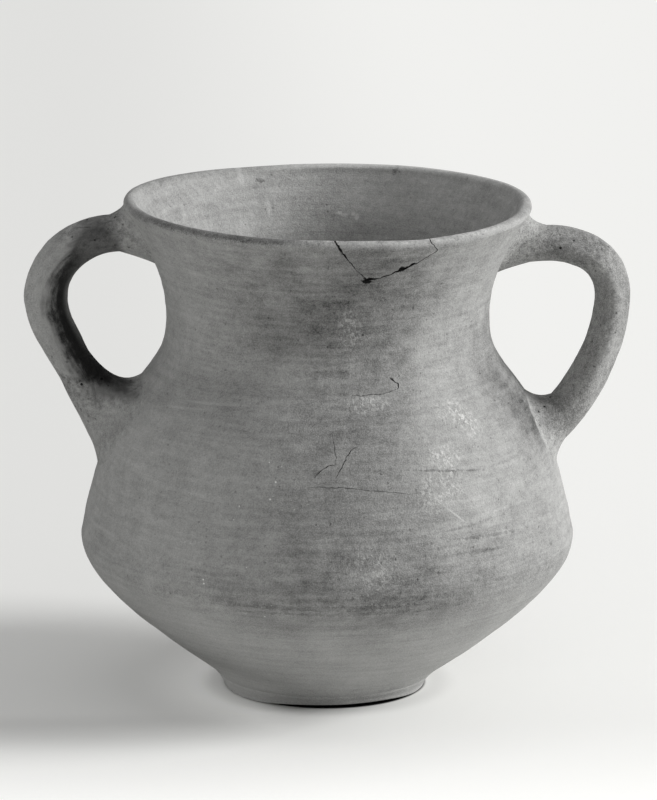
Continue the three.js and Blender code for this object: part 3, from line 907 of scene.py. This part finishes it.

# Smoke on the handles: where it begins and is full, from outside to inside of the loop, its strength on the
# arch and on the arm below it, and stains, with the radius they are at before the change of tone; some stains
# are painted light and painted shade
LEFT_SMOKE_AND_PAINTED_LIGHT_AND_SHADE = {
    "loop": (-0.5, 0.6), "arch_loop": 1.3, "arch": 0.62, "arm": 0.96,
    "stains": (
        # Soot and painted shade in the crotch at the lower root, and on the arch by the rim
        (-174, 109.2, 12, 1.6, 75, -0.6), (-175, 105, 12, 3.6, 77, -0.4), (180, 161, 12, 5, 75, -0.45),
        # Painted light on the outer side of the elbow, which faces away from the key
        (180, 137, 14, 16, 100, 0.22),
    ),
}
RIGHT_SMOKE_AND_PAINTED_SHADE = {
    "loop": (-0.6, 0.6), "arch_loop": 0.0, "arch": -0.05, "arm": -0.05,
    # Painted shade of the handle on its lower root, dark pits on the arch, and darker on the outer side of the
    # elbow
    "stains": ((-8, 95, 14, 8, 72, -0.36), (-5, 152, 9, 5, 82, -0.4), (-6, 134, 10, 16, 98, -0.12)),
}
HANDLE_STAIN_DEPTH = 12


def thrown_clay(name, tone):
    """Wiped and turned grey clay with wear, old stains, painted light and shade, and faint wheel marks."""
    mix = Recipe(name)
    z = mix.z
    inside = mix.attribute("inside_wall")
    drift = mix.clouds(0.028, 3)
    blotch = mix.clouds(0.12, 5, 0.6)
    mottle = mix.clouds(0.55, 4, 0.6)
    grain = mix.clouds(2.2, 3, 0.7)
    wheel = mix.clouds(0.7, 4, 0.6, (0.03, 0.03, 1))
    wiping = mix.clouds(0.5, 5, 0.68, (0.2, 0.2, 1))

    # The bowl was turned smooth; above it the skin is rougher and wiped along
    turned = mix.between(z + blotch * 9, 49, 43)
    rough = 1 - turned * 0.55
    shade = 1 + drift * 0.6 + blotch * rough * 0.45 + mottle * rough * 0.5 + grain * 1.05 + wheel * 0.4
    shade = shade + wiping * rough * 0.5
    shade = shade + turned * 0.06

    # Stains and painted light and shade, strokes, worn places, grit and pits
    marks = 0
    wavering = wiping * 0.5 + blotch * 0.7
    for *where, change in STAINS_AND_PAINTED_LIGHT_AND_SHADE:
        marks = mix.patch(*where, ragged=wavering, softness=0.85) * change + marks
    for *where, change in STROKES:
        marks = mix.patch(*where, ragged=mottle * 2.5, softness=0.5) * change + marks
    worn = 0
    for *where, change in SCUFFS:
        worn = mix.patch(*where, ragged=blotch * 2.5, softness=0.6) * change + worn
    worn = worn * (mix.between(mix.clouds(0.8, 3, 0.65), -0.02, 0.1) * 0.8 + 0.15)
    gritty = 0
    for where in GRIT:
        gritty = mix.patch(*where, ragged=blotch * 2) + gritty
    grit = mix.dots(0.5, 0.2, 0.1) * (gritty * 0.9 + 0.06)
    pits = mix.dots(0.42, 0.22, 0.16) * rough
    shade = shade + (1 - inside) * (marks + worn + grit * 1.3) - pits * 0.22

    # The inner wall, wiped upwards, with a slanting edge across it that is lighter on its left; it is darker low
    # down on the right
    upward = mix.clouds(0.5, 4, 0.65, (1, 1, 0.13))
    edge = mix.x + (z - 145) * 0.57 + 13 + mottle * 4
    # Painted light: the inner wall is lighter towards the right, where it faces away from the key
    wiped = mix.between(mix.x, -40, 10) * 0.05 + mix.between(mix.x, -10, 30) * 0.13
    wiped = wiped + mix.between(edge, 1.2, -0.6) * 0.05 + upward * 0.45 - 0.05
    wiped = wiped - mix.between(z, 156, 146) * mix.between(mix.x, 0, 15) * 0.14
    for *where, change in INNER_MARKS:
        wiped = mix.patch(*where, ragged=mottle * 2.5) * change + wiped
    wiped = wiped * inside

    # The lip: darker along its top at the front left, chipped at the right with a dark line under it, and painted
    # light at the back right and painted shade at the back left
    below_lip = mix.attribute("below_lip")
    front = mix.between(mix.y, 8, -12)
    dark_front_left_lip = mix.between(below_lip + mottle * 1.5 + grain * 2, 2.8, 0.5) * front
    dark_front_left_lip = dark_front_left_lip * mix.between(mix.x + blotch * 24, 8, -24) * mix.between(mix.x + blotch * 20, -76, -54)
    right_lip = mix.between(mix.x + blotch * 10, -16, -6) * mix.between(mix.x, 64, 48) * front
    chipped = mix.between(below_lip + mottle * 2, 1.2, 0.5) * (0.2 + mottle * 1.4 - pits * 0.6)
    under_lip = mix.between(below_lip + mottle * 3, 1, 1.8) * mix.between(below_lip, 5, 2.4)
    # Painted light and painted shade on the top of the lip at the back: lighter at the right, darker at the left
    back_lip_painted_light_and_shade = mix.between(below_lip, 2, 0.6) * mix.between(mix.y, 8, 40)
    shade = shade - dark_front_left_lip * 0.45 + right_lip * (chipped - under_lip * 0.12)
    shade = shade + back_lip_painted_light_and_shade * (mix.between(mix.x, -40, 6) * 0.7 - 0.24)

    relief = grain * 0.5 + mottle * rough * 0.9 + wheel * 0.5 + worn * 0.8 - pits * 0.5
    # Dark dirt and painted shade on the broken faces, so that the gap round the sherd reads black
    break_dirt_and_painted_shade = 1 - mix.attribute("broken_face") * 0.85
    return mix.fire((shade + wiped) * tone * break_dirt_and_painted_shade, relief, 0.3, 0.92)


def handle_clay(name, tone, wall_tone, coarse, smoke):
    """Pulled clay: paler at its roots, darkened by smoke on the side that faces into the loop, with stains and some
    painted light and shade.
    """
    mix = Recipe(name)
    loop, along, off_wall = (mix.attribute(mark) for mark in ("faces_loop", "along_handle", "off_wall"))
    blotch = mix.clouds(0.12, 5, 0.6)
    mottle = mix.clouds(0.55, 4, 0.6)
    grain = mix.clouds(2.2, 3, 0.7)
    pits = mix.dots(0.42, 0.24, 0.3)
    arch = mix.between(mix.z, 130, 146) * mix.between(mix.math("ABSOLUTE", mix.x) + blotch * 24, 92, 79)
    wisps = blotch * 1.5 + mottle * 0.5 + grain * 0.5
    lengthwise = mix.node("ShaderNodeCombineXYZ", {}, {"X": along * 0.07, "Y": loop * 3})
    streaks = mix.clouds(1.0, 4, 0.6, place=lengthwise)

    # Smoke hangs on the side towards the loop and leaves the wall bare; the innermost line is left bare too, as
    # painted light where it catches the light from the right
    inwards = loop - mix.between(mix.z, 112, 106) * 0.6
    smoked = mix.between(inwards + wisps + streaks * 1.5 + arch * smoke["arch_loop"], *smoke["loop"])
    # Painted light: no smoke on the innermost line, which catches the light
    bare = (1 - mix.between(inwards, 1.15, 0.7)) * mix.between(mix.z, 112, 132)
    smoked = smoked * (arch * (smoke["arch"] - smoke["arm"]) + smoke["arm"]) * (1 - bare)
    smoked = smoked * mix.between(off_wall + blotch * 8 - arch * 6, 0, 4) * mix.between(mix.z + wisps * 6, 102, 110)

    # The roots take the tone of the wall
    root = mix.between(off_wall + blotch * 12 - arch * 4, 9, 1)
    clean = wall_tone * root + tone * (1 - root)
    shade = 1 + blotch * 0.7 + mottle * 0.9 + grain * coarse + streaks * 0.5 - pits * 0.3
    # Stains from the smoke tables, among them painted shade and painted light
    for *where, radius, change in smoke["stains"]:
        spot = mix.patch(*where, ragged=mottle * 2, softness=0.8, radius=radius, depth=HANDLE_STAIN_DEPTH)
        shade = shade + spot * change * (0.8 + grain * 1.5 + pits * 1.2) * mix.between(off_wall, -0.6, 1.8)
    relief = grain * 0.6 + mottle * 1.1 - pits * 0.7
    return mix.fire(shade * clean * (1 - smoked), relief, 0.35, 0.92)


# Throwing, cutting and joining
foot = throw_foot()
wall = throw_wall()
score_cracks(wall)
settle(wall)
bowl = section(wall, "bowl_wall_clay", None, BELLY_HEIGHT)
shoulder = section(wall, "shoulder_wall_clay", BELLY_HEIGHT, NECK_SEAM)
neck = section(wall, "neck_wall_clay", NECK_SEAM, None)
discard(wall)
sherd = break_rim(neck)

core_outline = OUTLINE[::8].copy()
core_outline[:, 0] -= SKIN + LUTE_DEPTH
core = turn_on_wheel("core", [(0, FOOT_HEIGHT), *core_outline, (0, core_outline[-1, 1])], 128)
handles = []
for side, handle, upper_lute, lower_lute in (
    ("left", LEFT_HANDLE, LEFT_UPPER_LUTE, LEFT_LOWER_LUTE),
    ("right", RIGHT_HANDLE, RIGHT_UPPER_LUTE, RIGHT_LOWER_LUTE),
):
    for name, piece in (
        ("handle", roll_handle(f"{side}_handle_clay", handle, core)),
        ("upper_lute", press_lute(f"{side}_upper_lute_clay", handle, upper_lute, True)),
        ("lower_lute", press_lute(f"{side}_lower_lute_clay", handle, lower_lute, False)),
    ):
        set_on_its_side(piece, handle)
        note_loop(piece, handle)
        handles.append((piece, f"{side}_{name}", f"{side}_handle_clay"))
discard(core)

walls = [
    (foot, "foot_disc", "body_clay"),
    (bowl, "bowl_wall", "body_clay"),
    (shoulder, "shoulder_wall", "body_clay"),
    (neck, "neck_wall", "body_clay"),
    (sherd, "rim_sherd", "sherd_clay"),
]
for piece, _, _ in walls:
    note_wall(piece)

finishes = {
    "body_clay": thrown_clay("body clay", 0.37),
    "sherd_clay": thrown_clay("sherd clay", 0.36),
    "left_handle_clay": handle_clay("left handle clay", 0.37, 0.37, 1.0, LEFT_SMOKE_AND_PAINTED_LIGHT_AND_SHADE),
    "right_handle_clay": handle_clay("right handle clay", 0.32, 0.38, 1.8, RIGHT_SMOKE_AND_PAINTED_SHADE),
}
for piece, node, slot in walls + handles:
    take(piece)
    bpy.ops.object.shade_smooth_by_angle(angle=math.radians(SMOOTH_ANGLE))
    piece.data.materials.clear()
    piece.data.materials.append(finishes[slot])
    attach(piece, "root")
    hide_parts(node)

# The floor: pale paper with painted light that brightens it to the right and to the front
FLOOR_SIZE = 9
bpy.ops.object.select_all(action="DESELECT")
bpy.ops.mesh.primitive_plane_add(size=FLOOR_SIZE, location=(0, 0, 0))
floor = bpy.context.object
floor.name = "floor"
paper = Recipe("pale paper")
# Painted light: brighter to the right and to the front, as the light falls off
painted_brightening = paper.between(paper.x, -100, 120) * 0.16 + paper.between(paper.y, -40, -200) * 0.18
from_foot = paper.math("SQRT", paper.x * paper.x + paper.y * paper.y)

# Painted shadow: the paper is black under the foot, where no light comes in below the raised front edge
paper_tone_with_painted_shadow = paper.math("MINIMUM", 0.74 + painted_brightening, 0.92) * paper.between(from_foot, 32.8, 34.2)

# Painted light: a glow seen by the camera alone lifts the paper, more towards the front; none right at the foot,
# less in front of it as painted shade, and more beside the foot in the jar's shadow
painted_light_beside_foot = paper.between(from_foot, 34, 37) * paper.between(from_foot, 70, 40) * paper.between(paper.x, -8, -28)
painted_shade_in_front = paper.between(paper.y, -34, -50) * paper.between(paper.y, -85, -62) * paper.between(paper.x, 24, -16)
glow = paper.between(from_foot, 36, 46) * (0.14 + paper.between(paper.y, -50, -200) * 0.2 - painted_shade_in_front * 0.05)
glow = glow + painted_light_beside_foot * 0.12
glow = glow * paper.node("ShaderNodeLightPath", {}, {}, "Is Camera Ray")
paper_white = paper.node("ShaderNodeBsdfPrincipled", {}, {
    "Base Color": paper.grey(paper_tone_with_painted_shadow), "Roughness": 0.9, "Specular IOR Level": 0.1,
    "Emission Color": paper.grey(glow), "Emission Strength": 1.0,
})
paper.node("ShaderNodeOutputMaterial", {}, {"Surface": paper_white})
floor.data.materials.append(paper.material)

# The light: one soft key from the right and an even room
KEY_BEARING = -5
KEY_HEIGHT = 24
KEY_STRENGTH = math.pi
KEY_SPREAD = 26
ROOM_STRENGTH = 0.42
bpy.ops.object.light_add(type="SUN", rotation=(0, 0, 0))
key = bpy.context.object
key.name = "key light"
key.data.energy = KEY_STRENGTH
key.data.angle = math.radians(KEY_SPREAD)
turn, rise = math.radians(KEY_BEARING), math.radians(KEY_HEIGHT)
towards_key = Vector((math.cos(turn) * math.cos(rise), math.sin(turn) * math.cos(rise), math.sin(rise)))
key.rotation_euler = towards_key.to_track_quat("Z", "Y").to_euler()

world = bpy.data.worlds.new("room")
bpy.context.scene.world = world
world.use_nodes = True
room = world.node_tree.nodes["Background"]
room.inputs["Color"].default_value = (1, 1, 1, 1)
room.inputs["Strength"].default_value = ROOM_STRENGTH

# The camera, in degrees and metres; its aim is in millimetres
CAMERA_AZIMUTH = -2.5
CAMERA_ELEVATION = 13.64
CAMERA_DISTANCE = 2.0
AIM_HEIGHT = 99.39
AIM_SHIFT = 0.34
LENS = 264.5
SENSOR_WIDTH = 36
azimuth, elevation = math.radians(CAMERA_AZIMUTH), math.radians(CAMERA_ELEVATION)
back = Vector((
    math.sin(azimuth) * math.cos(elevation), -math.cos(azimuth) * math.cos(elevation), math.sin(elevation),
))
aim = Vector((math.cos(azimuth), math.sin(azimuth), 0)) * AIM_SHIFT * MM + Vector((0, 0, AIM_HEIGHT)) * MM
bpy.ops.object.camera_add(location=aim + back * CAMERA_DISTANCE)
camera = bpy.context.object
camera.rotation_euler = back.to_track_quat("Z", "Y").to_euler()
camera.data.lens = LENS
camera.data.sensor_width = SENSOR_WIDTH
bpy.context.scene.camera = camera
bpy.context.scene.view_settings.view_transform = "Standard"

bpy.context.view_layer.update()
